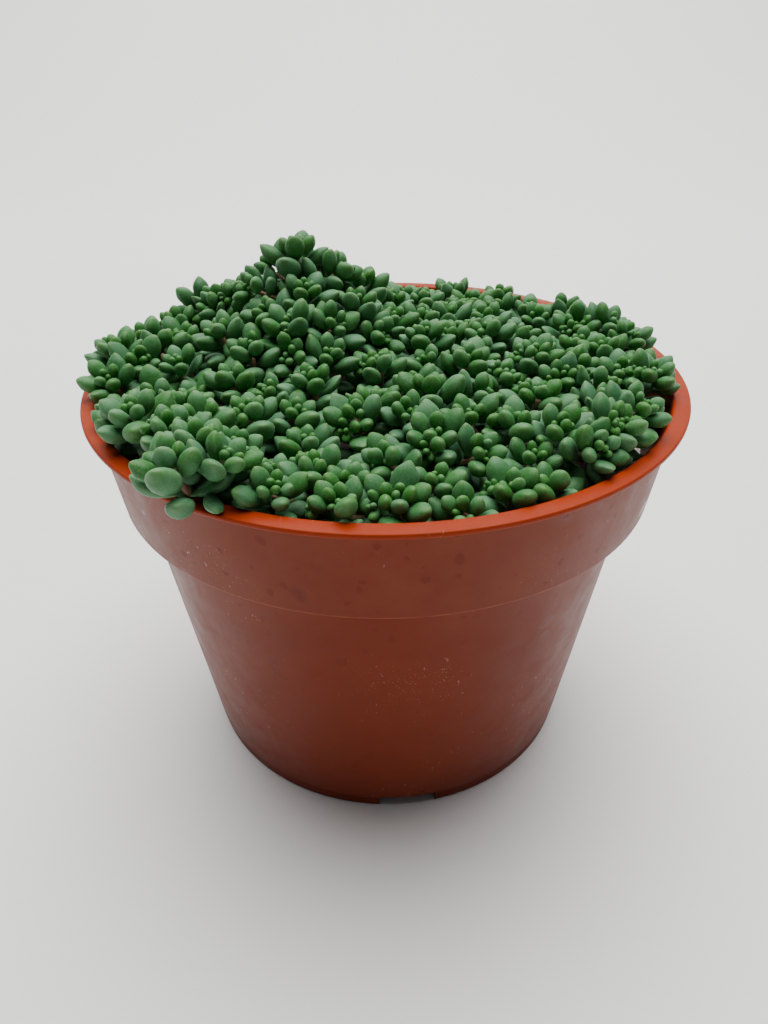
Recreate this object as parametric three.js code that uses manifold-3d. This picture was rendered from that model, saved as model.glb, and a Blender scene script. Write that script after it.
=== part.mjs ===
// A low round nursery pot filled with potting mix and planted with a close mat of blue-green sedum.
// Millimetres, Z up. The foot of the pot stands on z = 0 and the pot's axis is the Z axis.
// The mat is made of many rooted shoots: each is one stem with its fleshy leaves, standing in its
// own planting hole in the mix. A tall clump rises at the back left, one shoot leans out over the
// rim at the front left, and a bare patch is left at the front right.

import * as THREE from "three";
import { mergeVertices } from "three/addons/utils/BufferGeometryUtils.js";
import Module from "manifold-3d";

// ---- Pot ----
const rim_diameter = 120; // over the lip
const pot_height = 83.5;
const base_diameter = 88;
const wall = 1.2;
const lip_width = 2.1; // how far the lip stands out from the collar
const lip_thickness = 1.0;
const collar_height = 19.6; // from the underside of the shoulder to the top of the lip
const collar_taper = 2.3; // the collar is this much narrower in radius at its lower end
const shoulder_width = 3.7; // flat step from the collar in to the body
const foot_height = 3;
const foot_width = 2.4;
const foot_inset = 0.5;
const notch_count = 3; // gaps in the foot ring that let water run out
const notch_width = 12.3;
const notch_angle = -84.5; // degrees, the middle of the first notch
const drain_hole_count = 8;
const drain_hole_diameter = 5.5;
const pot_sides = 48;

// ---- Potting mix ----
const mix_drop = 9.5; // from the top of the lip down to the mix at the wall
const mix_crown = 2.5; // the mix is this much higher in the middle
const mix_roughness = 0.6; // height of the lumps in its top
const mix_sides = 32;

// ---- Sedum ----
const shoot_count = 40;
const mat_edge = -2.2; // middle of a head beside the wall, above the top of the lip
const mat_middle = 3.8; // the same in the middle of the pot
const height_play = 1.3; // heads stand up to this much above or below the smooth mat
const clump_angle = 140; // degrees round from +X, as are the angles below
const clump_reach = 0.5; // its tallest shoot stands this share of the way out to the mat's edge
const clump_height = 17;
const clump_spread = 16;
const bare_angle = -22;
const bare_reach = 0.94;
const bare_size = 0.95; // the bare patch as a share of one head's room
const lean_angle = -122;
const lean_out = 8; // how far the leaning shoot's head is carried out past its root
const spill_out = 3.5; // the same for the other shoots that hang over the lip
const spill_from = 150; // they stand along the mat's edge from this angle on to the next
const spill_to = 250;
const stem_diameter = 2.2;
const planting_depth = 6;
const leaf_width = 4.6;
const leaf_thickness = 3.4;
const leaf_sides = 5;
const pair_raise = [10, 28, 52, 76]; // how far each pair of leaves in a head is raised, in degrees
const pair_length = [1, 0.95, 0.78, 0.55]; // its length as a share of the longest
const pair_width = [1, 0.95, 0.8, 0.6];
const tier_raise = 8;
const tier_step = 5.6;
const bare_stem = 4; // stem left without leaves above the mix
const spill_lift = 3.8; // middle of a head that hangs over the lip, above the lip's top

const clearance = 0.3; // between pieces that touch
const finest_detail = 0.15; // corners closer than this are merged where leaves meet the stem
const finest_fold = 0.1; // folds shallower than this are flattened afterwards
const golden_angle = Math.PI * (3 - Math.sqrt(5));
const tall_shoot = 9; // number of the clump's tallest shoot
const leaning_shoot = shoot_count - 1;

const wasm = await Module();
wasm.setup();

const potted_sedum = new THREE.Group();
potted_sedum.name = "potted_sedum";

// ---- Shared helpers ----

function solid_of(geometry) {
  const bare = geometry.index ? geometry.clone() : geometry;
  bare.deleteAttribute("normal");
  bare.deleteAttribute("uv");
  const welded = mergeVertices(bare, 1e-4);
  return new wasm.Manifold(
    new wasm.Mesh({
      numProp: 3,
      vertProperties: new Float32Array(welded.attributes.position.array),
      triVerts: new Uint32Array(welded.index.array),
    }),
  );
}

function geometry_of(solid) {
  const mesh = solid.getMesh();
  const geometry = new THREE.BufferGeometry();
  geometry.setAttribute("position", new THREE.BufferAttribute(mesh.vertProperties, 3));
  geometry.setIndex(new THREE.BufferAttribute(mesh.triVerts, 1));
  geometry.computeVertexNormals();
  return geometry;
}

function add_piece(name, geometry, look) {
  const mesh = new THREE.Mesh(geometry, new THREE.MeshStandardMaterial(look));
  mesh.name = name;
  potted_sedum.add(mesh);
}

// A steady value from -1 to 1 for one shoot and one use, so that the mat is the same every time.
function play(shoot, use) {
  const value = Math.sin(12.9898 * (shoot + 1) + 78.233 * (use + 1)) * 43758.5453;
  return 2 * (value - Math.floor(value)) - 1;
}

// A turned shape from [radius, height] points, its axis along Z.
function turned(points, sides) {
  const profile = points.map(([radius, height]) => new THREE.Vector2(radius, height));
  return new THREE.LatheGeometry(profile, sides).rotateX(Math.PI / 2);
}

// A straight round bar between two places.
function bar(from, to, radius, end_radius, sides) {
  const length = from.distanceTo(to);
  const along = new THREE.Vector3().subVectors(to, from).normalize();
  const geometry = new THREE.CylinderGeometry(end_radius, radius, length, sides);
  geometry.translate(0, length / 2, 0);
  geometry.applyQuaternion(
    new THREE.Quaternion().setFromUnitVectors(new THREE.Vector3(0, 1, 0), along),
  );
  return geometry.translate(from.x, from.y, from.z);
}

// ---- Pot: one moulding, turned and then cut for its notches and drain holes ----

const rim_radius = rim_diameter / 2;
const base_radius = base_diameter / 2;
const collar_top_radius = rim_radius - lip_width;
const collar_low_radius = collar_top_radius - collar_taper;
const body_top_radius = collar_low_radius - shoulder_width;
const shoulder_height = pot_height - collar_height;
const ledge_height = shoulder_height + wall;
const floor_height = foot_height + wall;
const foot_radius = base_radius - foot_inset;

function inner_collar_radius(height) {
  const share = (height - ledge_height) / (pot_height - ledge_height);
  return collar_low_radius - wall + collar_taper * share;
}

const pot_profile = [
  [0, foot_height],
  [foot_radius - foot_width, foot_height],
  [foot_radius - foot_width, 0],
  [foot_radius, 0],
  [foot_radius, foot_height],
  [base_radius, foot_height],
  [body_top_radius, shoulder_height],
  [collar_low_radius, shoulder_height],
  [collar_top_radius, pot_height - lip_thickness],
  [rim_radius - 0.3, pot_height - lip_thickness],
  [rim_radius, pot_height - lip_thickness / 2],
  [rim_radius - 0.3, pot_height],
  [inner_collar_radius(pot_height), pot_height],
  [inner_collar_radius(ledge_height), ledge_height],
  [body_top_radius - wall, ledge_height],
  [base_radius - wall, floor_height],
  [0, floor_height],
];

let pot = solid_of(turned(pot_profile, pot_sides));
for (let notch = 0; notch < notch_count; notch += 1) {
  const angle = THREE.MathUtils.degToRad(notch_angle + (360 / notch_count) * notch);
  const cutter = new THREE.BoxGeometry(foot_width * 4, notch_width, foot_height * 2);
  cutter.translate(foot_radius - foot_width / 2, 0, 0);
  cutter.rotateZ(angle);
  pot = pot.subtract(solid_of(cutter));
}
for (let hole = 0; hole < drain_hole_count; hole += 1) {
  const angle = (2 * Math.PI * hole) / drain_hole_count;
  const reach = base_radius * 0.7;
  const cutter = new THREE.CylinderGeometry(drain_hole_diameter / 2, drain_hole_diameter / 2, wall * 4, 12);
  cutter.rotateX(Math.PI / 2);
  cutter.translate(reach * Math.cos(angle), reach * Math.sin(angle), foot_height + wall / 2);
  pot = pot.subtract(solid_of(cutter));
}
add_piece("pot", geometry_of(pot), { color: 0x9c4a2c, roughness: 0.45, metalness: 0 });

// ---- Places of the shoots ----

function share_place(angle, reach) {
  const turn = THREE.MathUtils.degToRad(angle);
  return new THREE.Vector2(reach * Math.cos(turn), reach * Math.sin(turn));
}

// Heads spread by the golden angle in a circle of radius 1, then nudged apart until they are evenly
// packed round the bare patch and round the two shoots whose places are given.
function settled_places() {
  const places = [];
  for (let shoot = 0; shoot < shoot_count; shoot += 1) {
    const reach = Math.sqrt((shoot + 0.5) / shoot_count);
    const angle = shoot * golden_angle;
    places.push(new THREE.Vector2(reach * Math.cos(angle), reach * Math.sin(angle)));
  }
  const wanted = 1.93 / Math.sqrt(shoot_count);
  const bare = share_place(bare_angle, bare_reach);
  for (let round = 0; round < 500; round += 1) {
    places[tall_shoot].copy(share_place(clump_angle, clump_reach));
    places[leaning_shoot].copy(share_place(lean_angle, 1));
    for (let first = 0; first < shoot_count; first += 1) {
      for (let second = first + 1; second < shoot_count; second += 1) {
        const apart = new THREE.Vector2().subVectors(places[second], places[first]);
        const short = wanted - apart.length();
        if (short > 0) {
          apart.setLength(short * 0.3);
          places[second].add(apart);
          places[first].sub(apart);
        }
      }
      const from_bare = new THREE.Vector2().subVectors(places[first], bare);
      const short = wanted * bare_size - from_bare.length();
      if (short > 0) {
        places[first].add(from_bare.setLength(short));
      }
      if (places[first].length() > 1) {
        places[first].setLength(1);
      }
    }
  }
  places[tall_shoot].copy(share_place(clump_angle, clump_reach));
  places[leaning_shoot].copy(share_place(lean_angle, 1));
  return places;
}

const places = settled_places();
let closest = Infinity;
for (let first = 0; first < shoot_count; first += 1) {
  for (let second = first + 1; second < shoot_count; second += 1) {
    closest = Math.min(closest, places[first].distanceTo(places[second]));
  }
}

// Every head stays inside a ball of this reach, so two heads never meet and none meets the wall.
const mix_edge_height = pot_height - mix_drop;
const wall_radius = inner_collar_radius(mix_edge_height);
const mat_radius = (wall_radius - clearance / 2) / (1 + closest / 2);
const head_reach = (closest * mat_radius - clearance) / 2;
const stem_radius = stem_diameter / 2;
const tallest = share_place(clump_angle, clump_reach).multiplyScalar(mat_radius);
const root_limit = body_top_radius - wall - clearance - stem_radius - 2;

function mix_height(x, y) {
  const share = Math.min(1, Math.hypot(x, y) / wall_radius);
  const lumps = Math.sin(x * 0.55 + 1.3) * Math.sin(y * 0.6 + 0.4) + 0.5 * Math.sin(x * 0.21 - y * 0.33);
  return mix_edge_height + mix_crown * (1 - share * share) + mix_roughness * lumps * 0.6;
}

// Where one shoot is rooted, and where its head is and which way the head faces.
function shoot_layout(shoot) {
  const place = places[shoot].clone().multiplyScalar(mat_radius);
  const outward = place.clone().normalize();
  const share = place.length() / mat_radius;
  const from_clump = place.distanceTo(tallest) / clump_spread;
  const rise = clump_height * Math.exp(-from_clump * from_clump);
  const mat = mat_edge + (mat_middle - mat_edge) * (1 - share * share * share);
  const angle = (THREE.MathUtils.radToDeg(Math.atan2(place.y, place.x)) + 360) % 360;
  const leans = shoot === leaning_shoot;
  const spills = leans || (share > 0.95 && angle > spill_from && angle < spill_to);
  const head = new THREE.Vector3(place.x, place.y, pot_height + mat + rise + height_play * play(shoot, 0));
  if (spills) {
    const out = leans ? lean_out : spill_out + 1.4 * play(shoot, 1);
    head.x += outward.x * out;
    head.y += outward.y * out;
    head.z = Math.max(head.z, pot_height + spill_lift + 0.5 * play(shoot, 2));
    const room = rim_radius - head_reach;
    head.x = THREE.MathUtils.clamp(head.x, -room, room);
    head.y = THREE.MathUtils.clamp(head.y, -room, room);
  }
  const root_place = place.clone();
  if (root_place.length() > root_limit) {
    root_place.setLength(root_limit);
  }
  const root = new THREE.Vector3(
    root_place.x,
    root_place.y,
    mix_height(root_place.x, root_place.y) - planting_depth,
  );
  const tilt_out = spills ? 0.34 : 0.16 * share;
  const away_x = (place.x - tallest.x) / clump_spread;
  const away_y = (place.y - tallest.y) / clump_spread;
  const tilt_away = (0.42 * rise) / clump_height;
  const facing = new THREE.Vector3(
    outward.x * tilt_out + away_x * tilt_away + 0.1 * play(shoot, 3),
    outward.y * tilt_out + away_y * tilt_away + 0.1 * play(shoot, 4),
    1,
  ).normalize();
  return { shoot, root, head, facing, rise, spills };
}

const layouts = places.map((_, shoot) => shoot_layout(shoot));

// ---- Potting mix: fills the pot and is cut for every planted stem ----

const mix_profile = [
  [0, floor_height + clearance],
  [base_radius - wall - clearance, floor_height + clearance],
  [body_top_radius - wall - clearance, ledge_height + clearance],
  [inner_collar_radius(ledge_height) - clearance, ledge_height + clearance],
  [wall_radius - clearance, mix_edge_height],
];
const mix_rings = 5;
for (let ring = mix_rings - 1; ring >= 0; ring -= 1) {
  mix_profile.push([((wall_radius - clearance) * ring) / mix_rings, mix_edge_height]);
}
const mix_shape = turned(mix_profile, mix_sides);
const mix_points = mix_shape.attributes.position;
for (let point = 0; point < mix_points.count; point += 1) {
  if (mix_points.getZ(point) > mix_edge_height - 0.01) {
    const x = mix_points.getX(point);
    const y = mix_points.getY(point);
    const at_edge = Math.hypot(x, y) > wall_radius - clearance - 0.1;
    mix_points.setZ(point, at_edge ? mix_edge_height : mix_height(x, y));
  }
}
let mix = solid_of(mix_shape);
for (const { root, head } of layouts) {
  const along = new THREE.Vector3().subVectors(head, root).normalize();
  const bottom = root.clone().addScaledVector(along, -clearance);
  const top = root.clone().addScaledVector(along, planting_depth * 2.2);
  const hole = bar(bottom, top, stem_radius + clearance, stem_radius + clearance, 5);
  mix = mix.subtract(solid_of(hole));
}
add_piece("potting_mix", geometry_of(mix), { color: 0x2c2119, roughness: 0.95, metalness: 0 });

// ---- Sedum shoots ----

// A plump pointed leaf that starts at `from` and runs along `along`, its flat face towards `up`.
function leaf(from, along, up, length, width, thickness) {
  const shape = new THREE.LatheGeometry(
    [
      new THREE.Vector2(0, 0),
      new THREE.Vector2(0.24, 0.3),
      new THREE.Vector2(0.5, 0.72),
      new THREE.Vector2(0, 1),
    ],
    leaf_sides,
  );
  shape.scale(width, length, thickness);
  const forward = along.clone().normalize();
  const across = new THREE.Vector3().crossVectors(forward, up).normalize();
  const normal = new THREE.Vector3().crossVectors(across, forward);
  shape.applyMatrix4(new THREE.Matrix4().makeBasis(across, forward, normal));
  return shape.translate(from.x, from.y, from.z);
}

// Two leaves opposite each other on the axis `facing`, raised from the level by `raise` degrees.
function leaf_pair(centre, facing, turn, raise, length, width, thickness) {
  const leaves = [];
  const side = new THREE.Vector3(0, 1, 0).cross(facing).normalize();
  const ahead = new THREE.Vector3().crossVectors(facing, side);
  const lift = THREE.MathUtils.degToRad(raise);
  for (const angle of [turn, turn + Math.PI]) {
    const flat = side.clone().multiplyScalar(Math.cos(angle)).addScaledVector(ahead, Math.sin(angle));
    const along = flat.multiplyScalar(Math.cos(lift)).addScaledVector(facing, Math.sin(lift));
    leaves.push(leaf(centre, along, facing, length, width, thickness));
  }
  return leaves;
}

// The outer skin of a solid, so that no sealed pocket is left where leaves meet.
function filled(solid) {
  return solid.decompose().sort((a, b) => b.volume() - a.volume())[0];
}

// One rooted shoot: a stem, a head of crossed pairs of leaves, and crossed pairs in tiers below it.
function shoot_solid({ shoot, root, head, facing, spills }) {
  const turn = shoot * golden_angle;
  const longest = head_reach * (0.97 + 0.03 * play(shoot, 5));
  const stem_top = head.clone().addScaledVector(facing, 0.8);
  const pieces = [bar(root, stem_top, stem_radius, stem_radius * 0.85, 4)];
  pair_raise.forEach((raise, pair) => {
    const length = longest * pair_length[pair];
    const width = leaf_width * pair_width[pair];
    const thickness = leaf_thickness * pair_width[pair];
    pieces.push(...leaf_pair(head, facing, turn + (pair * Math.PI) / 2, raise, length, width, thickness));
  });
  const along = new THREE.Vector3().subVectors(head, root).normalize();
  const leafy = head.z - mix_height(root.x, root.y) - bare_stem;
  const tiers = spills ? 0 : Math.floor(leafy / tier_step); // no leaves where a stem crosses the lip
  for (let tier = 1; tier <= tiers; tier += 1) {
    const centre = head.clone().addScaledVector(along, -tier_step * tier);
    for (const quarter of [0, 1]) {
      const angle = turn + tier * 0.8 + (quarter * Math.PI) / 2;
      pieces.push(
        ...leaf_pair(centre, along, angle, tier_raise, longest * 0.94, leaf_width, leaf_thickness),
      );
    }
  }
  const grown = wasm.Manifold.union(pieces.map(solid_of)).simplify(finest_detail);
  return filled(grown.asOriginal().simplify(finest_fold));
}

for (const layout of layouts) {
  const number = String(layout.shoot + 1).padStart(2, "0");
  const kind = layout.rise > clump_height * 0.35 ? "clump_shoot" : layout.spills ? "rim_shoot" : "mat_shoot";
  add_piece(`${kind}_${number}`, geometry_of(shoot_solid(layout)), {
    color: layout.shoot % 3 === 0 ? 0x7f9a7e : 0x6f8f7a,
    roughness: 0.7,
    metalness: 0,
  });
}

export default potted_sedum;
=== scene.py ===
# %% [markdown]
# # A potted sedum
# A low round nursery pot of satin orange plastic, filled with dark potting mix and planted with a
# close mat of fleshy blue-green sedum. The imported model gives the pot, the mix and forty rooted
# shoots. Every piece is made again here with its fine shape and finish, on the same pot and from the
# same planting holes. The heads of the shoots are moved a few millimetres to shape the mat.

# %% Load the frame
import math

import bmesh
import bpy
import numpy as np
from mathutils import Matrix, Vector, noise


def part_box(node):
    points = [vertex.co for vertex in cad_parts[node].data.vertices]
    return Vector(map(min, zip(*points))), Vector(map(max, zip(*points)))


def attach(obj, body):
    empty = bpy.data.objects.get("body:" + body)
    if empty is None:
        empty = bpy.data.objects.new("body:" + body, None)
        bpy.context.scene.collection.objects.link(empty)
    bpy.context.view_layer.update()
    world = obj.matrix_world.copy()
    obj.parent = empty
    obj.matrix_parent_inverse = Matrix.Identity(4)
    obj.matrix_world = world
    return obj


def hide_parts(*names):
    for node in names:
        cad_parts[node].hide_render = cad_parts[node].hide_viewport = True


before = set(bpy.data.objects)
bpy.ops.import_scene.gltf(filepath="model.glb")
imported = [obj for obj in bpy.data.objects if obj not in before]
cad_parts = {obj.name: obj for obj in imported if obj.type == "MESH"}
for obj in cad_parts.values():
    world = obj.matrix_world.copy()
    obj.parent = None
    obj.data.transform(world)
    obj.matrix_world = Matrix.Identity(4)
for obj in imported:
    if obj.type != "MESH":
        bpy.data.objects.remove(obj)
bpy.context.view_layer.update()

MM = 0.001
pot_low, pot_high = (np.array(corner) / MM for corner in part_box("pot"))
lip_radius = (pot_high[0] - pot_low[0]) / 2
pot_height = pot_high[2]
print(f"pot {2 * lip_radius:.1f} mm over the lip, {pot_height:.1f} mm high")

# %% [markdown]
# The camera stands close in front of the pot and looks down on it by about a third of a right
# angle, so the lip is a wide ellipse and the body tapers strongly towards the floor. Its distance
# and height are shares of the lip's radius, and the lens is a wide one, as in a telephone.

# %% Camera
eye = Vector((0, -2.4859, 2.4301)) * lip_radius * MM
pitch, yaw, roll = 0.5798, -0.0032, -0.0098
ahead = Vector((math.sin(yaw) * math.cos(pitch), math.cos(yaw) * math.cos(pitch), -math.sin(pitch)))
level = Vector((math.cos(yaw), -math.sin(yaw), 0))
upward = level.cross(ahead)
right = level * math.cos(roll) + upward * math.sin(roll)
top = upward * math.cos(roll) - level * math.sin(roll)
camera_data = bpy.data.cameras.new("camera")
camera_data.lens = 27.04
camera_data.clip_start = 0.01
camera = bpy.data.objects.new("camera", camera_data)
camera.matrix_world = Matrix.Translation(eye) @ Matrix((right, top, -ahead)).transposed().to_4x4()
bpy.context.collection.objects.link(camera)
bpy.context.scene.camera = camera
print("camera at", [round(value / MM) for value in eye])

# %% [markdown]
# Materials are node trees, and their sums are easier to read as ordinary expressions. `Flow` wraps
# one node socket, so that `1 - mask * 0.5` adds the Math nodes it needs. `Finish` holds one
# material: its `add` makes any other node, `blend` mixes colours and `fit` remaps a value.

# %% Shader helpers
class Flow:
    """A number or colour on its way through a material."""

    def __init__(self, finish, socket):
        self.finish = finish
        self.socket = socket

    def sum_with(self, operation, first, second):
        return self.finish.add("Math", {"operation": operation}, {0: first, 1: second})

    def __add__(self, other):
        return self.sum_with("ADD", self, other)

    def __radd__(self, other):
        return self.sum_with("ADD", other, self)

    def __sub__(self, other):
        return self.sum_with("SUBTRACT", self, other)

    def __rsub__(self, other):
        return self.sum_with("SUBTRACT", other, self)

    def __mul__(self, other):
        return self.sum_with("MULTIPLY", self, other)

    def __rmul__(self, other):
        return self.sum_with("MULTIPLY", other, self)

    def __pow__(self, other):
        return self.sum_with("POWER", self, other)

    def __rpow__(self, other):
        return self.sum_with("POWER", other, self)


class Finish:
    """One material and the nodes that make it."""

    def __init__(self, title, **shader):
        self.material = bpy.data.materials.new(title)
        self.material.use_nodes = True
        self.tree = self.material.node_tree
        self.shader = self.tree.nodes["Principled BSDF"]
        for name, value in shader.items():
            socket = name.replace("_", " ").title().replace("Ior", "IOR")
            self.shader.inputs[socket].default_value = value
        self.place = self.add("TexCoord", {}, {}, "Object")

    def add(self, kind, settings, values, output=0):
        node = self.tree.nodes.new("ShaderNode" + kind)
        for name, value in settings.items():
            if name == "stops":
                ramp = node.color_ramp.elements
                while len(ramp) < len(value):
                    ramp.new(0.5)
                for stop, (position, colour) in zip(ramp, value):
                    stop.position = position
                    stop.color = (*colour, 1)
            else:
                setattr(node, name, value)
        for name, value in values.items():
            if isinstance(value, Flow):
                self.tree.links.new(value.socket, node.inputs[name])
            else:
                node.inputs[name].default_value = value
        return Flow(self, node.outputs[output])

    def blend(self, share, first, second, mode="MIX"):
        first = (*first, 1) if isinstance(first, tuple) else first
        second = (*second, 1) if isinstance(second, tuple) else second
        settings = {"data_type": "RGBA", "blend_type": mode, "clamp_factor": True}
        return self.add("Mix", settings, {0: share, 6: first, 7: second}, 2)

    def fit(self, value, low, high, to_low=0.0, to_high=1.0):
        values = {"Value": value, "From Min": low, "From Max": high, "To Min": to_low, "To Max": to_high}
        return self.add("MapRange", {"clamp": True}, values)

    def cloud(self, scale, detail=2.0, roughness=0.5, place=None):
        values = {"Vector": place or self.place, "Scale": scale, "Detail": detail, "Roughness": roughness}
        return self.add("TexNoise", {}, values, "Fac")

    def cells(self, scale, feature="F1", output="Distance", place=None, random=1.0):
        values = {"Vector": place or self.place, "Scale": scale, "Randomness": random}
        return self.add("TexVoronoi", {"feature": feature}, values, output)

    def bump(self, height, strength, distance):
        values = {"Height": height, "Strength": strength, "Distance": distance}
        return self.add("Bump", {}, values, "Normal")

    def feed(self, **links):
        for name, flow in links.items():
            self.tree.links.new(flow.socket, self.shader.inputs[name.replace("_", " ").title()])


# %% [markdown]
# A finished piece is one mesh object at the origin, with its place in its mesh. `new_piece` makes
# it, lets it ride on the pot's only body and hides the imported nodes it stands for.

# %% Piece helper
def new_piece(name, mesh_maker, materials, nodes):
    mesh = bpy.data.meshes.new(name)
    mesh_maker.to_mesh(mesh)
    mesh_maker.free()
    for material in materials:
        mesh.materials.append(material)
    piece = bpy.data.objects.new(name, mesh)
    bpy.context.collection.objects.link(piece)
    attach(piece, "root")
    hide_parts(*nodes)
    return piece


def sharpen(bm, degrees):
    """Smooth faces, with a crease wherever two meet at more than this angle."""
    for face in bm.faces:
        face.smooth = True
    for edge in bm.edges:
        edge.smooth = edge.calc_face_angle(0.0) < math.radians(degrees)


# %% [markdown]
# ## The pot's plastic
# The real pot is injection-moulded polypropylene: orange-brown all through, satin, and a little
# dusty. Dried water drops left darker round marks with a crisp edge on the collar, and handling
# left fine pale specks and scuffs. Colour spots from cell patterns give the drops, a thin shell of
# each cell gives the drop's rim, and roughness follows the same masks so that the marks also show
# in the gloss.

# %% Pot plastic
plastic = Finish("pot_plastic", ior=1.49, specular_ior_level=0.12)
warp = plastic.add("TexNoise", {}, {"Vector": plastic.place, "Scale": 300.0, "Detail": 2.0}, "Color")
sway = (0.0026,) * 3
shifted = plastic.add("VectorMath", {"operation": "MULTIPLY_ADD"}, {0: warp, 1: sway, 2: plastic.place})
height = plastic.add("SeparateXYZ", {}, {0: plastic.place}, "Z")
on_collar = plastic.fit(height, (pot_height - 40) * MM, (pot_height - 16) * MM, 0.3, 1.0)


def drops(scale, rarest, size, soft):
    """Dried drops: the middles of some cells of a pattern, each with its own size."""
    chance = plastic.add("SeparateColor", {}, {0: plastic.cells(scale, output="Color", place=shifted)}, 0)
    reach = plastic.fit(chance, rarest, 1.0, 0.0, size)
    inside = reach - plastic.cells(scale, place=shifted)
    return plastic.fit(inside, 0.0, soft) * on_collar, plastic.fit(inside, soft, soft * 3, 1.0, 0.0)


big_drop, big_rim = drops(160.0, 0.35, 0.38, 0.05)
small_drop = drops(400.0, 0.50, 0.42, 0.10)[0]
ring = big_drop * big_rim
cloudy = plastic.cloud(38.0, 4.0, 0.6)
streaky = plastic.cloud(160.0, 4.0, 0.65)
film = plastic.fit(streaky * 0.5 + cloudy * 0.5, 0.38, 0.62, 0.25, 1.0) * on_collar
specks = plastic.fit(plastic.cells(1500.0, place=shifted), 0.05, 0.16, 1.0, 0.0)
dust = specks * plastic.fit(cloudy, 0.53, 0.66)
long_way = {0: plastic.place, "Rotation": (0.4, 0.9, 0.3), "Scale": (1.0, 0.08, 0.6)}
scratch_place = plastic.add("Mapping", {}, long_way)
lines = plastic.fit(plastic.cloud(1500.0, 2.0, 0.5, scratch_place), 0.68, 0.74)
scratch = lines * plastic.fit(cloudy, 0.5, 0.62)
# Mask of the lip, where painted light makes it brighter than the rest of the pot.
lip = plastic.fit(height, (pot_height - 1.15) * MM, (pot_height - 0.8) * MM)
body_colour = plastic.blend(plastic.fit(cloudy, 0.3, 0.7), (0.156, 0.0160, 0.0012), (0.178, 0.0205, 0.0018))
body_colour = plastic.blend(film * 0.24 * (1 - big_drop), body_colour, (0.27, 0.098, 0.058))
body_colour = plastic.blend(big_drop * 0.85 + small_drop * 0.6, body_colour, (0.128, 0.0090, 0.0006))
body_colour = plastic.blend(ring * 0.08, body_colour, (0.40, 0.16, 0.10))
# Painted highlight: a paler band along the shoulder's edge, broken up by streaks, stands for the light this
# edge catches.
painted_shoulder_highlight = 1 - plastic.fit((height - (pot_height - 19.5) * MM) ** 2, 0.0, (0.5 * MM) ** 2)
painted_shoulder_highlight = painted_shoulder_highlight * plastic.fit(streaky, 0.35, 0.6, 0.1, 0.4)
body_colour = plastic.blend(painted_shoulder_highlight, body_colour, (0.40, 0.12, 0.06))
# Painted light: the lip gets a brighter, deeper orange that stands for the overhead light on its top.
body_colour = plastic.blend(lip, body_colour, (0.290, 0.026, 0.0015))
body_colour = plastic.blend(dust * 0.5 + scratch * 0.35, body_colour, (0.66, 0.52, 0.46))
gloss = plastic.fit(streaky, 0.3, 0.7, 0.34, 0.46) + film * 0.06 - big_drop * 0.12 + dust * 0.2
grain = plastic.cloud(2600.0, 2.0) * 0.3 + cloudy * 2.0 + ring * 0.5 - big_drop * 0.3
plastic.feed(base_color=body_colour, roughness=gloss, normal=plastic.bump(grain, 0.12, 0.00012))

# %% [markdown]
# ## The pot
# The real pot is a thin shell of one thickness with a foot ring, a tapering body, a step out to
# the collar and a narrow lip. A half outline drawn once and spun round the axis gives exactly that.
# Small bevels at the outline's corners stand for the mould's radii: they catch the bright line that
# runs round the lip.

# %% Pot shell
wall = 1.2
collar_top, collar_low, body_top, base = lip_radius - 2.1, lip_radius - 4.4, lip_radius - 8.1, 44.0
shoulder, foot = pot_height - 19.6, 3.0
inner_top = collar_low - wall + 2.3
outline = [
    (0, foot), (base - 2.9, foot), (base - 2.9, 0), (base - 0.5, 0), (base - 0.45, foot - 0.25),
    (base - 0.1, foot), (body_top, shoulder), (collar_low, shoulder), (collar_top, pot_height - 1.0),
    (lip_radius, pot_height - 1.0), (lip_radius, pot_height), (inner_top, pot_height),
    (collar_low - wall, shoulder + wall), (body_top - wall, shoulder + wall), (base - wall, foot + wall),
    (0, foot + wall),
]
bm = bmesh.new()
points = [bm.verts.new((radius * MM, 0, height * MM)) for radius, height in outline]
for pair in zip(points, points[1:]):
    bm.edges.new(pair)
rounded = points[1:-1]
softness = [0.4, 0.5, 0.5, 0.1, 0.15, 0.5, 0.35, 0.2, 0.38, 0.32, 0.5, 0.6, 0.8, 1.5]
for point, size in zip(rounded, softness):
    bmesh.ops.bevel(
        bm, geom=[point], offset=size * MM, segments=3, profile=0.5, affect="VERTICES", material=-1,
    )
bmesh.ops.spin(
    bm, geom=bm.verts[:] + bm.edges[:], cent=(0, 0, 0), axis=(0, 0, 1), angle=2 * math.pi, steps=144,
    use_merge=True,
)
bmesh.ops.remove_doubles(bm, verts=bm.verts[:], dist=0.00002)
bmesh.ops.recalc_face_normals(bm, faces=bm.faces[:])
sharpen(bm, 40)
pot = new_piece("pot_shell", bm, [plastic.material], ["pot"])
print("pot shell", len(pot.data.polygons), "faces")

# %% [markdown]
# Water leaves the pot through holes in its raised base and through notches in the foot ring. They
# could be modelled into the spun shell, but its rings would have to be split by hand. Cutting the
# finished shell with blocks and pegs is shorter and leaves clean edges. The cut is read back into
# the mesh, so that no cutter is left in the scene.

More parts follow.
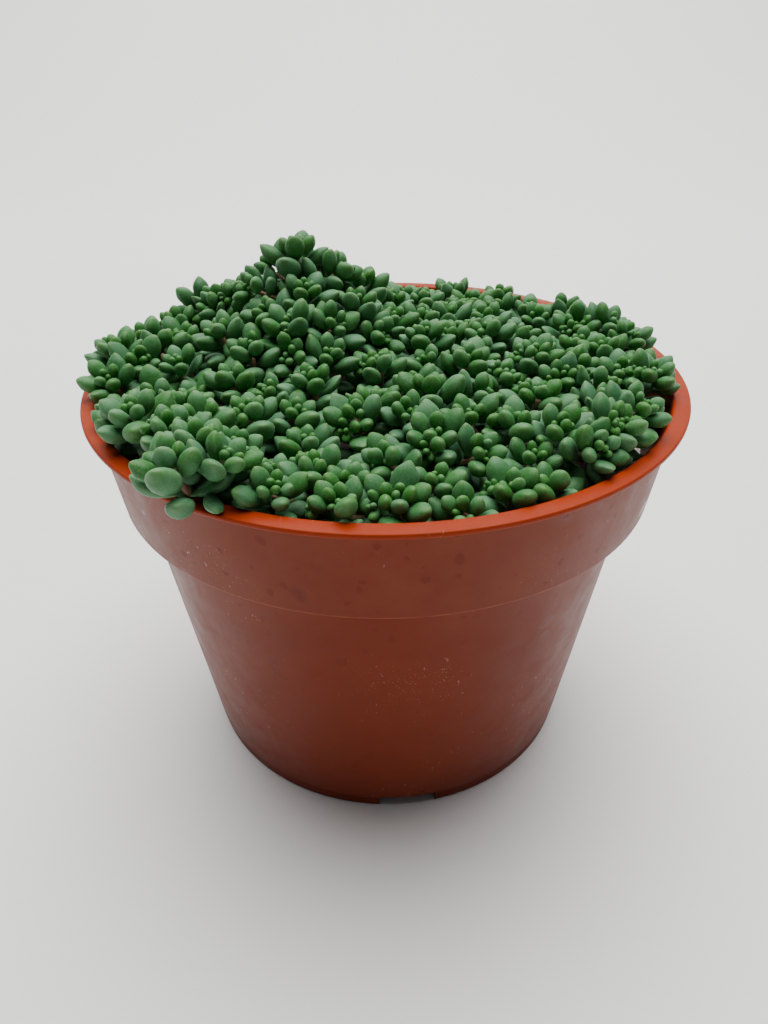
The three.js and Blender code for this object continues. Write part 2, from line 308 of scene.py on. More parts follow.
# %% Pot notches and drain holes
cutters = bmesh.new()
for number in range(3):
    turn = Matrix.Rotation(math.radians(-84.5 + 120 * number), 4, "Z")
    place = turn @ Matrix.Translation((42.3 * MM, 0, 0)) @ Matrix.Diagonal((8 * MM, 12.3 * MM, 6 * MM, 1))
    bmesh.ops.create_cube(cutters, size=1.0, matrix=place)
for number in range(8):
    turn = Matrix.Rotation(math.radians(45 * number), 4, "Z")
    place = turn @ Matrix.Translation((base * 0.7 * MM, 0, 3.6 * MM))
    bmesh.ops.create_cone(
        cutters, cap_ends=True, segments=24, radius1=2.75 * MM, radius2=2.75 * MM, depth=6 * MM, matrix=place,
    )
cutter_mesh = bpy.data.meshes.new("cutters")
cutters.to_mesh(cutter_mesh)
cutters.free()
cutter = bpy.data.objects.new("cutters", cutter_mesh)
bpy.context.collection.objects.link(cutter)
cut = pot.modifiers.new("cut", "BOOLEAN")
cut.object = cutter
cut.solver = "EXACT"
bpy.context.view_layer.update()
shaped = bpy.data.meshes.new_from_object(pot.evaluated_get(bpy.context.evaluated_depsgraph_get()))
pot.modifiers.clear()
pot.data = shaped
bpy.data.objects.remove(cutter)
bm = bmesh.new()
bm.from_mesh(shaped)
sharpen(bm, 40)
bm.to_mesh(shaped)
bm.free()
print("pot after cutting", len(shaped.polygons), "faces")

# %% [markdown]
# ## Where each shoot stands
# Each packed shoot gives two places: its foot, low in its planting hole, and the middle of its
# head of leaves. The foot is the lowest ring of the stem. The head's middle lies a little under the
# shoot's highest corner, on the axis of the leaves round it.

# %% Feet and heads
shoot_names = sorted(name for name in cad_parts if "shoot" in name)
feet, heads = [], []
for name in shoot_names:
    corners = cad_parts[name].data.vertices
    spots = np.empty(len(corners) * 3)
    corners.foreach_get("co", spots)
    spots = spots.reshape(-1, 3) / MM
    highest, lowest = spots[:, 2].max(), spots[:, 2].min()
    crown = spots[spots[:, 2] > highest - 5.5]
    centre = (crown.min(axis=0) + crown.max(axis=0)) / 2
    feet.append(spots[spots[:, 2] < lowest + 1.0].mean(axis=0))
    heads.append([centre[0], centre[1], highest - 4.6])
feet, heads = np.array(feet), np.array(heads)
print(len(shoot_names), "shoots, heads from", heads[:, 2].min().round(1), "to", heads[:, 2].max().round(1))

# %% [markdown]
# ## The skin of the mat
# Seen from above the heads form one uneven surface that swells into the tall clump. A smooth
# surface through the heads says how high the mat is at any place and which way it faces there.
# The tall clump is a round dome. Near the wall the mat rises a little, because the outer shoots
# lean on it: most at the right, least behind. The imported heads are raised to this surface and
# spread slightly towards the wall, and the cell prints how far they moved.

# %% Mat surface
packed_heads = heads.copy()
dome_place = heads[heads[:, 2].argmax()].copy()
front_gap = np.array((8.0, -54.0))


def edge_rise(x, y):
    """How far the leaning outer shoots lift the mat near the wall: most at the right, least behind."""
    near_wall = np.clip((math.hypot(x, y) - 34) / 18, 0, 1)
    near_front = math.exp(-((x - front_gap[0]) ** 2 + (y - front_gap[1]) ** 2) / (2 * 22**2))
    return 4.2 * near_wall * (1 - near_front) * np.clip(0.55 + 0.012 * x - 0.010 * y, 0.2, 1)


def dome_height(x, y):
    """The tall clump, a broad round swelling."""
    away = math.hypot(x - dome_place[0] - 0.5, y - dome_place[1])
    return dome_place[2] + 1.0 - 0.046 * away**2


def mat_height(x, y):
    weight = np.exp(-((heads[:, 0] - x) ** 2 + (heads[:, 1] - y) ** 2) / (2 * 5.2**2)) + 1e-9
    level = float((weight * heads[:, 2]).sum() / weight.sum()) + edge_rise(x, y)
    return max(level, dome_height(x, y))


def mat_facing(x, y):
    slope_x = (mat_height(x + 1, y) - mat_height(x - 1, y)) / 2
    slope_y = (mat_height(x, y + 1) - mat_height(x, y - 1)) / 2
    return Vector((-slope_x, -slope_y, 1.0)).normalized()


heads[:, 2] += [edge_rise(*head[:2]) for head in heads]
heads[:, 2] = [max(head[2], dome_height(*head[:2])) for head in heads]
heads[:, :2] *= 1 + 0.05 * np.clip(np.hypot(*heads[:, :2].T) / 50, 0, 1)[:, None] ** 2
shift = heads - packed_heads
moved = np.linalg.norm(shift, axis=1)
print("heads moved by", moved.mean().round(1), "mm on average, up to", moved.max().round(1), "mm")
print("heads raised by up to", shift[:, 2].max().round(1), "mm")

# %% [markdown]
# Forty heads don't close the mat. Side heads are set one after another in the widest hole left on
# its surface, as a real plant fills a gap with a branch, until no hole is wider than a small head.
# One round place at the right front stays bare. Each side head belongs to the nearest main head.

# %% Side heads
rng = np.random.default_rng(7)
widest_hole = 7.6
bare_spot = np.array((47.0, -19.0))
grid = np.arange(-52, 52.1, 1.3)
spots = np.array([(x, y) for x in grid for y in grid if math.hypot(x, y) < 53.5])
spots = spots[np.hypot(*(spots - bare_spot).T) > 6.5]
spots = np.column_stack([spots, [mat_height(x, y) for x, y in spots]])
gap = np.linalg.norm(spots[:, None] - heads[None], axis=2).min(axis=1)
need = 1 + 0.2 * (np.hypot(spots[:, 0], spots[:, 1]) > 45)
side_heads = []
while (gap * need).max() > widest_hole:
    spot = spots[(gap * need).argmax()] + np.append(rng.uniform(-0.6, 0.6, 2), 0)
    side_heads.append(spot)
    gap = np.minimum(gap, np.linalg.norm(spots - spot, axis=1))
side_heads = np.array(side_heads)
owner = np.linalg.norm(side_heads[:, None] - heads[None], axis=2).argmin(axis=1)
print(len(side_heads), "side heads")

# %% [markdown]
# ## Laying out the leaves
# This sedum sets its leaves in crossed pairs. In a head each higher pair is smaller, younger and
# more upright than the one below it, down to a knot of buds in the middle. One table of pairs
# therefore serves for all heads. Every leaf gets a foot on its stem, a direction, a size and an
# age, in plain arrays, so that all leaves can be settled against each other before any is modelled.

# %% Leaf layout
# distance down the stem, raise in degrees, length, width, thickness, age
leaf_pairs = [
    (8.6, -2, 6.1, 3.9, 3.1, 1.0),
    (6.4, 12, 7.0, 4.4, 3.5, 0.95),
    (4.7, 25, 7.4, 4.6, 3.7, 0.8),
    (3.1, 38, 7.2, 4.5, 3.7, 0.62),
    (1.9, 51, 6.4, 4.1, 3.4, 0.45),
    (0.9, 58, 5.0, 3.5, 3.0, 0.3),
    (0.2, 70, 3.5, 2.6, 2.3, 0.15),
    (-0.1, 80, 2.2, 1.8, 1.6, 0.05),
]
leaves = {key: [] for key in ("foot", "along", "face", "size", "age", "shoot", "tone")}


def set_leaf(foot, along, axis, size, age, shoot):
    leaves["foot"].append(foot)
    leaves["along"].append(along.normalized())
    leaves["face"].append(axis)
    leaves["size"].append(size)
    leaves["age"].append(age)
    leaves["shoot"].append(shoot)
    leaves["tone"].append(rng.uniform(-1, 1))


def set_head(centre, axis, scale, shoot, first_pair, bud_count):
    """One head of crossed pairs, and a few tiny heads in the angles under its middle pairs."""
    side = axis.orthogonal().normalized()
    turn = rng.uniform(0, math.pi)
    for number, (down, lift, length, width, thick, age) in enumerate(leaf_pairs[first_pair:], first_pair):
        for half in (0, math.pi):
            angle = turn + number * math.pi / 2 + half + rng.normal(0, 0.14)
            raised = math.radians(lift + rng.normal(0, 7))
            out = Matrix.Rotation(angle, 3, axis) @ side
            along = out * math.cos(raised) + axis * math.sin(raised)
            grow = scale * rng.normal(1, 0.09)
            foot = centre - axis * down * scale + out * 0.5
            set_leaf(foot, along, axis, (length * grow, width * grow, thick * grow), age, shoot)
    for number in range(bud_count):
        angle = turn + math.pi / 4 + number * math.pi / 2 * rng.choice((1, 2)) + rng.normal(0, 0.15)
        out = Matrix.Rotation(angle, 3, axis) @ side
        bud_axis = (out * 0.75 + axis * 0.65).normalized()
        bud = centre - axis * 2.6 * scale + bud_axis * rng.uniform(3.6, 4.6) * scale
        bud_side = bud_axis.orthogonal().normalized()
        for pair in range(3):
            size = (3.3, 2.5, 1.7)[pair] * scale * rng.uniform(0.85, 1.15)
            for half in (0, math.pi):
                swing = turn + pair * math.pi / 2 + half
                bud_out = Matrix.Rotation(swing, 3, bud_axis) @ bud_side
                raised = math.radians((22, 48, 74)[pair])
                along = bud_out * math.cos(raised) + bud_axis * math.sin(raised)
                foot = bud - bud_axis * (1.0, 0.5, 0.0)[pair] * scale
                set_leaf(foot, along, bud_axis, (size, size * 0.76, size * 0.68), 0.12 * pair, shoot)


# %% [markdown]
# A head faces the way the mat faces, turned a little towards straight up and a little outwards, as
# shoots reach for light. Side heads are smaller, sit slightly lower and start one pair higher.

# %% Set the heads
middle = Vector((0, 0, 1))
head_axes, side_axes = [], []
for shoot, head in enumerate(heads):
    outward = Vector((head[0], head[1], 0)) / lip_radius
    axis = (mat_facing(head[0], head[1]) * 0.75 + middle * 0.5 + outward * 0.3).normalized()
    axis = (axis + Vector(rng.normal(0, 0.1, 3))).normalized()
    head_axes.append(axis)
    set_head(Vector(head), axis, rng.uniform(0.96, 1.08), shoot, 0, int(rng.integers(0, 2)))
for spot, shoot in zip(side_heads, owner):
    away = Vector((spot - heads[shoot])) * 0.04
    outward = Vector((spot[0], spot[1], 0)) / lip_radius
    axis = (mat_facing(spot[0], spot[1]) * 0.75 + middle * 0.4 + away + outward * 0.2).normalized()
    side_axes.append(axis)
    centre = Vector(spot) - axis * rng.uniform(0.2, 2.2)
    scale = rng.uniform(0.80, 1.00)
    set_head(centre, axis, scale, int(shoot), 1, int(rng.uniform() < 0.35))
leaf_count = len(leaves["foot"])
print(leaf_count, "leaves")

# %% [markdown]
# ## Settling the leaves
# In the real mat no leaf grows through another: they press together and turn aside. Each leaf is
# taken as three balls along its length. Wherever balls of two leaves overlap, both leaves swing
# apart on their feet, the smaller one more. The pot's wall, its lip and the mix push in the same
# way. A physics simulation could do this too, but this is shorter, quick and always the same.

# %% Balls and pushes
foot = np.array(leaves["foot"], dtype=float)
start_foot = foot.copy()
along = np.array(leaves["along"], dtype=float)
size = np.array(leaves["size"], dtype=float)
wanted_along = along.copy()
ball_share = np.array((0.36, 0.62, 0.86))
ball_radius = (size[:, 1] + size[:, 2])[:, None] / 4 * np.array((0.74, 0.97, 0.74))
weight = 1 / size[:, 0]


def ball_places():
    return foot[:, None] + along[:, None] * (size[:, 0:1] * ball_share)[:, :, None]


def close_pairs(reach):
    """Pairs of balls of different leaves that lie within reach of touching."""
    spots = ball_places().reshape(-1, 3)
    radii = ball_radius.reshape(-1)
    leaf = np.repeat(np.arange(leaf_count), 3)
    order = np.argsort(spots[:, 0])
    firsts, seconds = [], []
    for step in range(0, len(order), 400):
        rows = order[step : step + 400]
        low, high = spots[rows, 0].min() - 6, spots[rows, 0].max() + 6
        near = order[np.searchsorted(spots[order, 0], low) : np.searchsorted(spots[order, 0], high)]
        away = np.linalg.norm(spots[rows][:, None] - spots[near][None], axis=2)
        touch = away < radii[rows][:, None] + radii[near][None] + reach
        first, second = np.nonzero(touch & (leaf[rows][:, None] < leaf[near][None]))
        firsts.append(rows[first])
        seconds.append(near[second])
    return np.concatenate(firsts), np.concatenate(seconds)


def wall_push(spots, radii):
    """How the pot's inner wall, its lip and the mix move balls that reach into them."""
    push = np.zeros_like(spots)
    out = np.hypot(spots[:, 0], spots[:, 1]) + 1e-6
    inner = inner_top - 2.3 * np.clip((pot_height - spots[:, 2]) / 18.4, 0, 1)
    under = spots[:, 2] < pot_height - 0.5
    deep = np.where(under, np.maximum(0, out + radii * 0.9 - inner), 0)
    push[:, 0] -= deep * spots[:, 0] / out
    push[:, 1] -= deep * spots[:, 1] / out
    over = ~under & (out + radii > inner_top) & (out < lip_radius + 6)
    push[:, 2] += np.where(over, np.maximum(0, pot_height + radii * 0.85 - spots[:, 2]), 0)
    push[:, 2] += np.maximum(0, pot_height - 8.6 + radii * 0.6 - spots[:, 2])
    return push


# %% [markdown]
# Each round clears less than half of an overlap, so that the leaves don't bounce. Two balls may stay
# seven hundredths of their reach inside each other, as soft leaves press together. A foot never
# strays far from its stem, and a weak pull brings each leaf back to the way it grew.

# %% Settle the leaves
press, give, farthest, return_pull = 0.93, 0.45, 1.3, 0.02
for round_number in range(60):
    if round_number % 15 == 0:
        first, second = close_pairs(1.6)
    spots = ball_places().reshape(-1, 3)
    radii = ball_radius.reshape(-1)
    apart = spots[second] - spots[first]
    distance = np.linalg.norm(apart, axis=1) + 1e-6
    overlap = np.maximum(0, (radii[first] + radii[second]) * press - distance)
    split = weight[second // 3] / (weight[first // 3] + weight[second // 3])
    move = np.zeros_like(spots)
    step = apart / distance[:, None] * (overlap * give)[:, None]
    for axis_number in range(3):
        move[:, axis_number] += np.bincount(second, step[:, axis_number] * split, len(spots))
        move[:, axis_number] -= np.bincount(first, step[:, axis_number] * (1 - split), len(spots))
    move += wall_push(spots, radii) * 0.5
    move = np.clip(move, -0.8, 0.8).reshape(leaf_count, 3, 3)
    foot += move.mean(axis=1) * 0.25
    drift = foot - start_foot
    far = np.linalg.norm(drift, axis=1, keepdims=True)
    foot = start_foot + drift * np.minimum(1, farthest / np.maximum(far, 1e-6))
    swing = (move / (size[:, 0:1] * ball_share)[:, :, None]).mean(axis=1) * 1.6
    along = along + swing + wanted_along * return_pull
    along /= np.linalg.norm(along, axis=1, keepdims=True)
print("deepest overlap left", overlap.max().round(2), "mm")
print("mean overlap of balls that touch", overlap[overlap > 0].mean().round(2), "mm")

# %% [markdown]
# ## One leaf
# A leaf is a plump little club: narrow where it joins the stem, widest past its middle, rounded
# over its back, a little flatter on its face and ending in a blunt point. A sphere has the right
# rings and closed poles, so each ring is only moved to its place along the leaf and scaled. Four
# such leaves are kept: a bud, a swollen young one, a grown one and a flatter old one. One
# subdivision level makes their few dozen faces round.

# %% Leaf patterns
def leaf_pattern(name, sides, shares, fullness, face_flat, back_full, bend, tip):
    """A leaf of unit length, half-width and half-thickness, its foot at 0 and its tip along Z."""
    bm = bmesh.new()
    bmesh.ops.create_uvsphere(bm, u_segments=sides, v_segments=len(shares) - 1, radius=1.0)
    for vert in bm.verts:
        ring = round(math.acos(max(-1.0, min(1.0, -vert.co.z))) / math.pi * (len(shares) - 1))
        share = shares[ring]
        if share < widest:
            girth = math.sin(math.pi / 2 * share / widest) ** 0.95
        else:
            girth = (1 - ((share - widest) / (1 - widest)) ** 2.3) ** fullness
        turn = math.atan2(vert.co.y, vert.co.x)
        thick = girth * (face_flat if vert.co.y > 0 else back_full)
        if 0 < ring < len(shares) - 1:
            vert.co.x = math.cos(turn) * girth
            vert.co.y = math.sin(turn) * thick
        vert.co.y += bend * share * share
        vert.co.z = share + (tip if ring == len(shares) - 1 else 0.0)
    bmesh.ops.recalc_face_normals(bm, faces=bm.faces[:])
    for face in bm.faces:
        face.smooth = True
    mesh = bpy.data.meshes.new(name)
    bm.to_mesh(mesh)
    bm.free()
    return mesh


widest = 0.64
fine_rings = (0, 0.10, 0.24, 0.42, 0.60, 0.74, 0.86, 0.95, 1)
few_rings = (0, 0.15, 0.40, 0.66, 0.88, 1)
patterns = {
    "bud": leaf_pattern("bud_leaf", 6, few_rings, 0.60, 0.95, 1.05, 0.10, 0.05),
    "young": leaf_pattern("young_leaf", 8, fine_rings, 0.68, 0.82, 1.10, 0.13, 0.06),
    "grown": leaf_pattern("grown_leaf", 8, fine_rings, 0.74, 0.70, 1.12, 0.18, 0.085),
    "old": leaf_pattern("old_leaf", 8, fine_rings, 0.72, 0.42, 0.92, 0.24, 0.10),
}
print({name: len(mesh.polygons) for name, mesh in patterns.items()})

# %% [markdown]
# ## The leaf's skin
# Young leaves are a fresh clear green. Older ones turn blue-green under a pale waxy bloom, which is
# thicker on some leaves than on others and thinner where they rub. The tip is a touch paler and
# yellower, and the whole skin is covered in minute pale dots. Each point of the mesh carries its
# leaf's age, its own tone and how far along the leaf it lies, and the nodes read these attributes.

# %% Leaf skin
skin = Finish(
    "sedum_leaf", ior=1.42, subsurface_weight=0.2, subsurface_scale=0.001, sheen_weight=0.04,
    sheen_roughness=0.4, specular_ior_level=0.3,
)
skin.shader.inputs["Subsurface Radius"].default_value = (0.6, 1.0, 0.4)
skin.shader.inputs["Sheen Tint"].default_value = (0.85, 1.0, 0.92, 1)
age = skin.add("Attribute", {"attribute_name": "leaf_age"}, {}, "Fac")
tone = skin.add("Attribute", {"attribute_name": "leaf_tone"}, {}, "Fac")
way = skin.add("Attribute", {"attribute_name": "leaf_way"}, {}, "Fac")
mottle = skin.cloud(420.0, 3.0, 0.6)
dots = skin.fit(skin.cells(2700.0), 0.12, 0.42, 1.0, 0.0)
fresh = skin.blend(skin.fit(tone, -1, 1), (0.026, 0.148, 0.017), (0.048, 0.206, 0.028))
grey = skin.blend(skin.fit(tone, -1, 1), (0.030, 0.130, 0.048), (0.059, 0.193, 0.076))
leaf_colour = skin.blend(skin.fit(age + tone * 0.18 + (mottle - 0.5) * 0.4, 0.1, 0.85), fresh, grey)
bloom = skin.fit(mottle + tone * 0.12 + age * 0.15, 0.42, 0.75)
leaf_colour = skin.blend(bloom * 0.32, leaf_colour, (0.150, 0.300, 0.172))
leaf_colour = skin.blend(dots * 0.20, leaf_colour, (0.27, 0.42, 0.28))
edge = skin.add("Attribute", {"attribute_name": "leaf_edge"}, {}, "Fac")
margin = skin.fit(edge, 0.86, 1.0) * skin.fit(way, 0.35, 0.7)
leaf_colour = skin.blend(margin * 0.30 + skin.fit(way, 0.88, 1.0) * 0.3, leaf_colour, (0.18, 0.32, 0.10))
leaf_colour = skin.blend(skin.fit(way, 0.0, 0.3, 1.0, 0.0) * 0.4, leaf_colour, (0.13, 0.21, 0.08))
leaf_bump = skin.bump(dots * 0.5 + skin.cloud(1100.0, 2.0) * 0.6, 0.25, 0.0001)
skin.feed(base_color=leaf_colour, roughness=skin.fit(mottle, 0.3, 0.7, 0.42, 0.58), normal=leaf_bump)

bark = Finish("sedum_stem", roughness=0.6)
stem_patch = bark.cloud(500.0, 3.0, 0.6)
stem_colour = bark.blend(bark.fit(stem_patch, 0.35, 0.65), (0.24, 0.095, 0.06), (0.19, 0.20, 0.09))
stem_ridges = bark.bump(bark.cloud(1800.0, 2.0), 0.4, 0.0002)
bark.feed(base_color=stem_colour, roughness=bark.fit(stem_patch, 0.3, 0.7, 0.5, 0.7), normal=stem_ridges)

# %% [markdown]
# ## The shoots
# Each shoot is one piece: a stem grown ring by ring from its planting hole to its head, branches to
# its side heads, and its settled leaves. A leaf is put in place by one matrix, whose columns are
# its width, its thickness and its length. The width points the way that makes the three
# right-handed. Otherwise the leaf would be mirrored and its faces would point inwards.

# %% Stems and leaf places
def grow_stem(bm, path, radii):
    """A round stem: a ring of eight corners, drawn out and moved on from place to place."""
    start = bmesh.ops.create_circle(bm, segments=8, radius=1.0, cap_ends=True)
    ring = start["verts"]
    cap = [face for face in bm.faces if face.verts[0] in ring]
    here = path[0]
    heading = (path[1] - path[0]).normalized()
    turn = Vector((0, 0, 1)).rotation_difference(heading).to_matrix().to_4x4()
    place = Matrix.Translation(here) @ turn @ Matrix.Diagonal((radii[0], radii[0], 1, 1))
    bmesh.ops.transform(bm, matrix=place, verts=ring)
    bmesh.ops.reverse_faces(bm, faces=cap)
    edges = list(dict.fromkeys(edge for vert in ring for edge in vert.link_edges))
    for number in range(1, len(path)):
        grown = bmesh.ops.extrude_edge_only(bm, edges=edges)["geom"]
        ring = [item for item in grown if isinstance(item, bmesh.types.BMVert)]
        edges = [item for item in grown if isinstance(item, bmesh.types.BMEdge)]
        edges = [edge for edge in edges if all(vert in ring for vert in edge.verts)]
        next_heading = (path[min(number + 1, len(path) - 1)] - path[number - 1]).normalized()
        turn = heading.rotation_difference(next_heading).to_matrix().to_4x4()
        scale = Matrix.Scale(radii[number] / radii[number - 1], 4)
        place = Matrix.Translation(path[number]) @ turn @ scale @ Matrix.Translation(-here)
        bmesh.ops.transform(bm, matrix=place, verts=ring)
        here, heading = path[number], next_heading
    bmesh.ops.edgeloop_fill(bm, edges=edges)


def curved_path(start, end, end_axis, steps):
    """Places from start to end that leave start upwards and arrive along end_axis."""
    reach = (end - start).length * 0.4
    first, last = start + Vector((0, 0, reach)), end - end_axis * reach
    path = []
    for number in range(steps + 1):
        share = number / steps
        rest = 1 - share
        low = start * rest**3 + first * 3 * share * rest**2
        path.append(low + last * 3 * share**2 * rest + end * share**3)
    return path


def leaf_matrix(number):
    heading = Vector(along[number])
    face = Vector(leaves["face"][number])
    across = heading.cross(face)
    across = across.normalized() if across.length > 0.05 else heading.orthogonal().normalized()
    face = across.cross(heading)
    length, width, thick = size[number] * MM
    columns = (-across * width / 2, face * thick / 2, heading * length)
    return Matrix.Translation(Vector(foot[number]) * MM) @ Matrix(columns).transposed().to_4x4()


# %% [markdown]
# Leaves are copies of the four patterns, placed one by one in the mesh of their shoot. Tiny leaves
# are buds, the upper pairs young, the lower ones grown, and about one low leaf in seven is old. The
# four marks on each point are what the skin's nodes read.

# %% Shoots
leaf_labels = ("leaf_age", "leaf_tone", "leaf_way", "leaf_edge")
leaf_shoot = np.array(leaves["shoot"])
leaf_total = 0
for shoot, name in enumerate(shoot_names):
    bm = bmesh.new()
    start, end = Vector(feet[shoot]) * MM, Vector(heads[shoot]) * MM
    path = curved_path(start, end, head_axes[shoot], 8)
    radii = [(1.25 - 0.45 * number / 8) * MM for number in range(9)]
    grow_stem(bm, path, radii)
    for spot, axis, own in zip(side_heads, side_axes, owner):
        if own == shoot:
            branch = curved_path(path[4], (Vector(spot) - axis * 1.5) * MM, axis, 6)
            grow_stem(bm, branch, [(0.8 - 0.25 * number / 6) * MM for number in range(7)])
    bmesh.ops.recalc_face_normals(bm, faces=bm.faces[:])
    for face in bm.faces:
        face.smooth = True
        face.material_index = 1
    marks = {label: [np.zeros(len(bm.verts))] for label in leaf_labels}
    for number in np.nonzero(leaf_shoot == shoot)[0]:
        length, leaf_age = size[number][0], leaves["age"][number]
        kind = "bud" if length < 3.0 else "young" if leaf_age < 0.5 else "grown"
        if leaf_age > 0.6 and rng.uniform() < 0.14:
            kind = "old"
        pattern = patterns[kind]
        placed = pattern.copy()
        placed.transform(leaf_matrix(number))
        bm.from_mesh(placed)
        bpy.data.meshes.remove(placed)
        count = len(pattern.vertices)
        marks["leaf_age"].append(np.full(count, min(1, max(0, leaf_age + rng.normal(0, 0.1)))))
        marks["leaf_tone"].append(np.full(count, leaves["tone"][number]))
        marks["leaf_way"].append(np.array([vert.co.z for vert in pattern.vertices]))
        across = [abs(math.cos(math.atan2(vert.co.y, vert.co.x))) for vert in pattern.vertices]
        marks["leaf_edge"].append(np.array(across))
        leaf_total += 1
    piece = new_piece("sedum_" + name, bm, [skin.material, bark.material], [name])
    for label, parts in marks.items():
        layer = piece.data.attributes.new(label, "FLOAT", "POINT")
        layer.data.foreach_set("value", np.concatenate(parts).astype(np.float32))
    smooth = piece.modifiers.new("smooth", "SUBSURF")
    smooth.levels = smooth.render_levels = 1
print(leaf_total, "leaves on", len(shoot_names), "shoots")

# %% [markdown]
# ## The potting mix
# Between the shoots and in the bare patch one sees dark peat with crumbs, fibres and a few white
# grains of perlite. The mix is a spun body whose top is lifted here and there by noise, with loose
# crumbs lying on it, many of them in only a few shapes.

# %% Mix finish
peat = Finish("potting_mix", roughness=0.95)
lumps = peat.cloud(700.0, 5.0, 0.7)
peat_colour = peat.blend(peat.fit(lumps, 0.35, 0.7), (0.010, 0.007, 0.004), (0.055, 0.036, 0.022))
fibre_place = peat.add("Mapping", {}, {0: peat.place, "Rotation": (0.2, 0.5, 0.9), "Scale": (1.0, 0.15, 1.0)})
fibres = peat.fit(peat.cloud(1600.0, 2.0, 0.5, fibre_place), 0.62, 0.7)
peat_colour = peat.blend(fibres * 0.4, peat_colour, (0.16, 0.10, 0.05))
peat.feed(base_color=peat_colour, normal=peat.bump(lumps + fibres * 0.3, 0.9, 0.0008))
perlite = Finish("perlite", roughness=0.9)
pores = perlite.cloud(2200.0, 3.0)
perlite_colour = perlite.blend(perlite.fit(pores, 0.3, 0.6), (0.45, 0.42, 0.38), (0.80, 0.78, 0.74))
perlite.feed(base_color=perlite_colour, normal=perlite.bump(pores, 0.8, 0.0004))

# %% [markdown]
# The body is spun from an outline like the pot's, so that it fills the pot with a hair's gap. Only
# its top is lumpy, so only the points there are lifted. Crumbs are copies of one small lump, each
# turned and stretched its own way, and four larger pale ones are perlite.

# %% Mix body and crumbs
mix_low, mix_high = (np.array(corner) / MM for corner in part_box("potting_mix"))
mix_radius = (mix_high[0] - mix_low[0]) / 2
mix_edge = pot_height - 9.5
mix_outline = [
    (0, mix_low[2]), (base - wall - 0.5, mix_low[2]), (body_top - wall - 0.4, shoulder + wall + 0.3),
    (collar_low - wall - 0.3, shoulder + wall + 0.3), (mix_radius, mix_edge - 0.4),
]
mix_outline += [(mix_radius * share, mix_edge) for share in np.linspace(1, 0, 26)]
bm = bmesh.new()
points = [bm.verts.new((radius * MM, 0, height * MM)) for radius, height in mix_outline]
for pair in zip(points, points[1:]):
    bm.edges.new(pair)
bmesh.ops.spin(
    bm, geom=bm.verts[:] + bm.edges[:], cent=(0, 0, 0), axis=(0, 0, 1), angle=2 * math.pi, steps=120,
    use_merge=True,
)
bmesh.ops.remove_doubles(bm, verts=bm.verts[:], dist=0.00002)


def mix_height(x, y):
    """Height of the mix in millimetres, from a slight crown and two sizes of lump."""
    share = min(1.0, math.hypot(x, y) / mix_radius)
    rough = noise.noise(Vector((x, y, 3)) * 0.35) * 0.7 + noise.noise(Vector((x, y, 9)) * 1.1) * 0.35
    return mix_edge + 2.0 * (1 - share * share) + rough * min(1, 6 * (1 - share) + 0.3)


for vert in bm.verts:
    if vert.co.z > (mix_edge - 0.1) * MM:
        vert.co.z = mix_height(vert.co.x / MM, vert.co.y / MM) * MM
bmesh.ops.recalc_face_normals(bm, faces=bm.faces[:])
sharpen(bm, 50)
crumb = bmesh.new()
bmesh.ops.create_icosphere(crumb, subdivisions=1, radius=1.0)
for vert in crumb.verts:
    vert.co *= 1 + 0.35 * noise.noise(vert.co * 1.7)
crumb_mesh = bpy.data.meshes.new("crumb")
crumb.to_mesh(crumb_mesh)
crumb.free()
crumb_total = 700
for number in range(crumb_total):
    reach, angle = (mix_radius - 1.5) * math.sqrt(rng.uniform()), rng.uniform(0, 2 * math.pi)
    x, y = reach * math.cos(angle), reach * math.sin(angle)
    grain_size = rng.uniform(0.35, 1.0)
    turn = Matrix.Rotation(rng.uniform(0, 6.28), 4, Vector(rng.normal(0, 1, 3)))
    shape = Matrix.Diagonal((*(grain_size * rng.uniform(0.6, 1.2, 3) * MM), 1))
    placed = crumb_mesh.copy()
    lie = Matrix.Translation((x * MM, y * MM, (mix_height(x, y) + grain_size * 0.3) * MM))
    placed.transform(lie @ turn @ shape)
    bm.from_mesh(placed)
    bpy.data.meshes.remove(placed)
perlite_spots = [(46.5, -21.5, 1.9), (49.5, -16.5, 1.3), (12.0, -49.5, 1.2), (-9.0, 51.0, 1.5)]
for x, y, grain_size in perlite_spots:
    first_face = len(bm.faces)
    turn = Matrix.Rotation(rng.uniform(0, 6.28), 4, Vector(rng.normal(0, 1, 3)))
    placed = crumb_mesh.copy()
    lie = Matrix.Translation((x * MM, y * MM, (mix_height(x, y) + 0.5) * MM))
    placed.transform(lie @ turn @ Matrix.Scale(grain_size * MM, 4))
    bm.from_mesh(placed)
    bpy.data.meshes.remove(placed)
    bm.faces.ensure_lookup_table()
    for face in bm.faces[first_face:]:
        face.material_index = 1
mix = new_piece("mix_body", bm, [peat.material, perlite.material], ["potting_mix"])
print("mix", len(mix.data.polygons), "faces")

# %% [markdown]
# ## The floor
# The pot stands on a plain pale surface that sweeps up into a wall behind it, so that no edge
# shows. One section line is drawn and pulled out sideways.

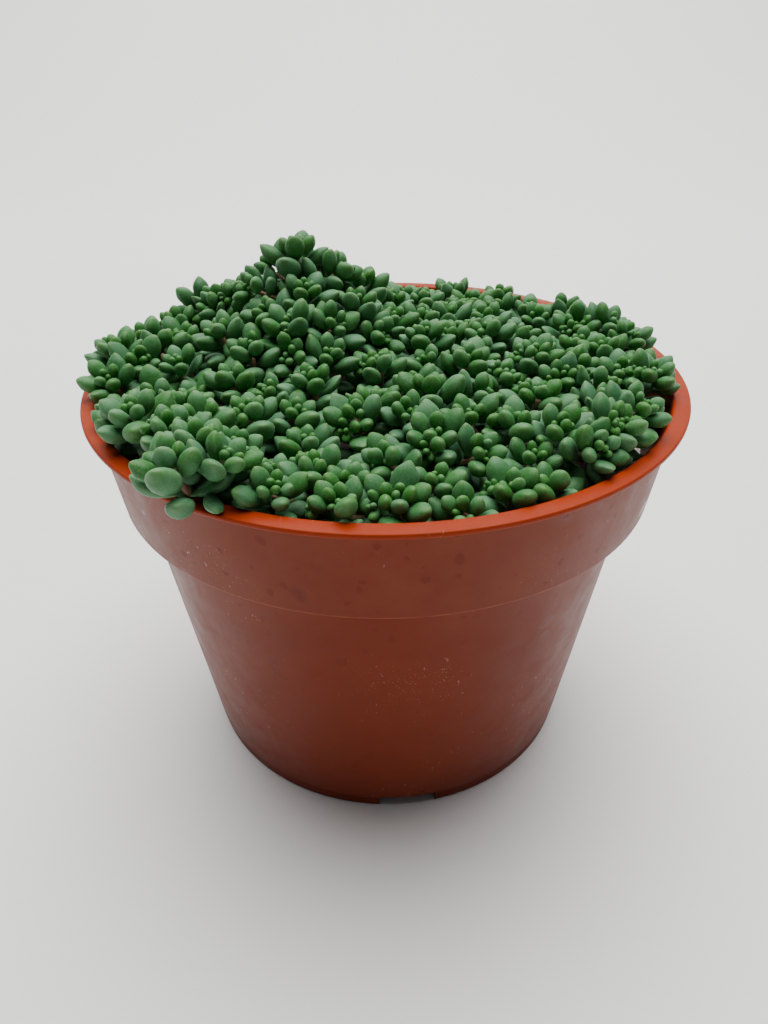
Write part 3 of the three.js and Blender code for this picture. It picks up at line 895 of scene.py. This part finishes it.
# %% Floor
floor_finish = Finish("floor", roughness=0.55)
floor_cloud = floor_finish.cloud(3.0, 2.0)
floor_finish.feed(base_color=floor_finish.blend(floor_cloud, (0.88, 0.88, 0.87), (0.91, 0.91, 0.90)))
reach, sweep_start, sweep_radius, wall_top = 12.0, 0.5, 0.6, 3.2
section = [(-reach, 0.0), (-1.0, 0.0), (sweep_start, 0.0)]
for step in range(1, 17):
    turn = math.pi / 2 * step / 16
    section.append((sweep_start + sweep_radius * math.sin(turn), sweep_radius * (1 - math.cos(turn))))
section.append((sweep_start + sweep_radius, wall_top))
bm = bmesh.new()
points = [bm.verts.new((-reach, depth, level)) for depth, level in section]
edges = [bm.edges.new(pair) for pair in zip(points, points[1:])]
grown = bmesh.ops.extrude_edge_only(bm, edges=edges)["geom"]
far_side = [item for item in grown if isinstance(item, bmesh.types.BMVert)]
bmesh.ops.translate(bm, verts=far_side, vec=(2 * reach, 0, 0))
bmesh.ops.recalc_face_normals(bm, faces=bm.faces[:])
for face in bm.faces:
    face.smooth = True
floor_mesh = bpy.data.meshes.new("floor")
bm.to_mesh(floor_mesh)
bm.free()
floor_mesh.materials.append(floor_finish.material)
floor = bpy.data.objects.new("floor", floor_mesh)
bpy.context.collection.objects.link(floor)

# %% [markdown]
# ## The light
# A broad soft lamp above and slightly behind lights the lip and the mat. It leaves the front of the
# pot in gentle shade, where mostly the floor lights it. The room around adds a little even light.

# %% Light
world = bpy.data.worlds.new("room")
bpy.context.scene.world = world
world.use_nodes = True
world.node_tree.nodes["Background"].inputs["Color"].default_value = (0.93, 0.95, 1.0, 1)
world.node_tree.nodes["Background"].inputs["Strength"].default_value = 0.09


def soft_lamp(name, place, target, width, power, colour):
    data = bpy.data.lights.new(name, "AREA")
    data.shape = "DISK"
    data.size = width
    data.energy = power
    data.color = colour
    lamp = bpy.data.objects.new(name, data)
    heading = (Vector(target) - Vector(place)).normalized()
    lamp.matrix_world = Matrix.Translation(place) @ heading.to_track_quat("-Z", "Y").to_matrix().to_4x4()
    bpy.context.collection.objects.link(lamp)


soft_lamp("ceiling", (0.0, 0.42, 1.5), (0, 0.05, 0), 1.8, 60.0, (1.0, 1.0, 0.99))

# %% [markdown]
# ## Finish
# The view layer is brought up to date.

# %% Finish
bpy.context.view_layer.update()
